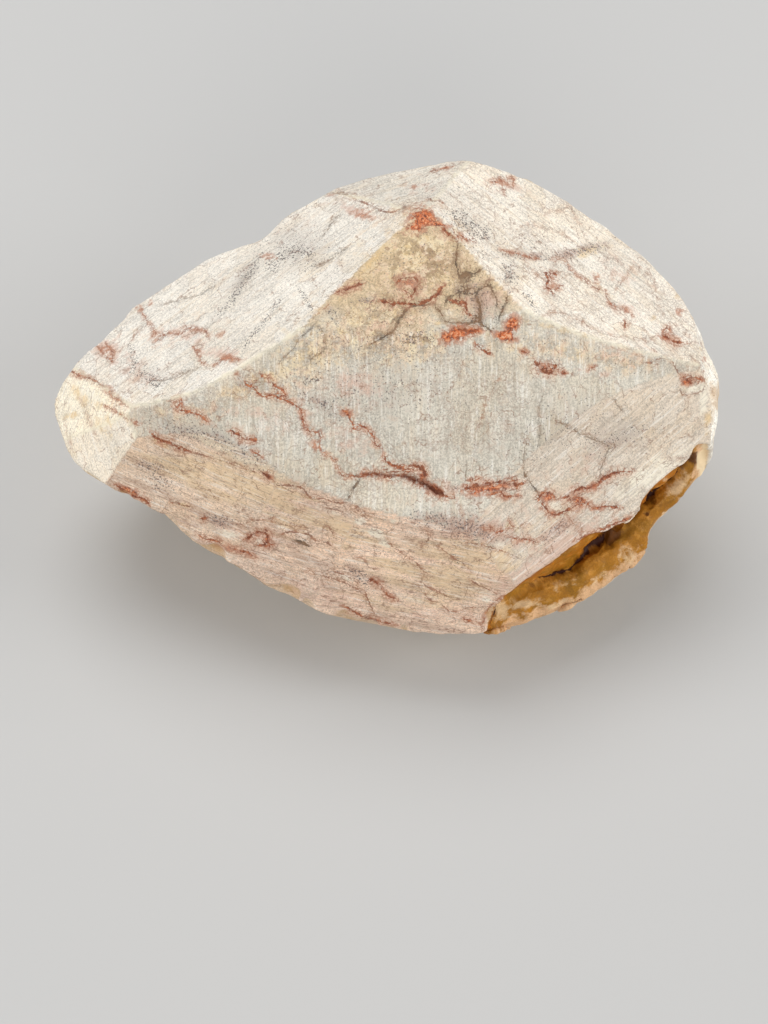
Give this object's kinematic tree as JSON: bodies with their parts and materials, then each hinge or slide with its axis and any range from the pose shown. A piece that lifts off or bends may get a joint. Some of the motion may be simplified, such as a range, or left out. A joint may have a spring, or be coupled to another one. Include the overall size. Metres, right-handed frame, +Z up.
{
  "type": "calcite stone",
  "caption": "Loose calcite stone ground into broad flat faces, with a natural patch at its crest, an open red seam, a deep crevice along its lower edge and a flat ground base.",
  "frame": {"origin": "on the resting plane, under the middle of the stone's bounding box", "axes": "+X to the right along the stone's longest extent, seen from its main face; +Y away from the viewer of the main face, towards the crest; +Z up, square to the flat it rests on"},
  "size_m": [0.1448, 0.0936, 0.0732],
  "materials": {
    "calcite": "hand-ground calcite, matt and finely scratched, cream to grey-beige with red-brown veins; natural skin honey to cream; the crevice is lined with smooth honey-coloured calcite"
  },
  "bodies": {
    "root": {"ribbon_calcite": "calcite"}
  },
  "joints": []
}
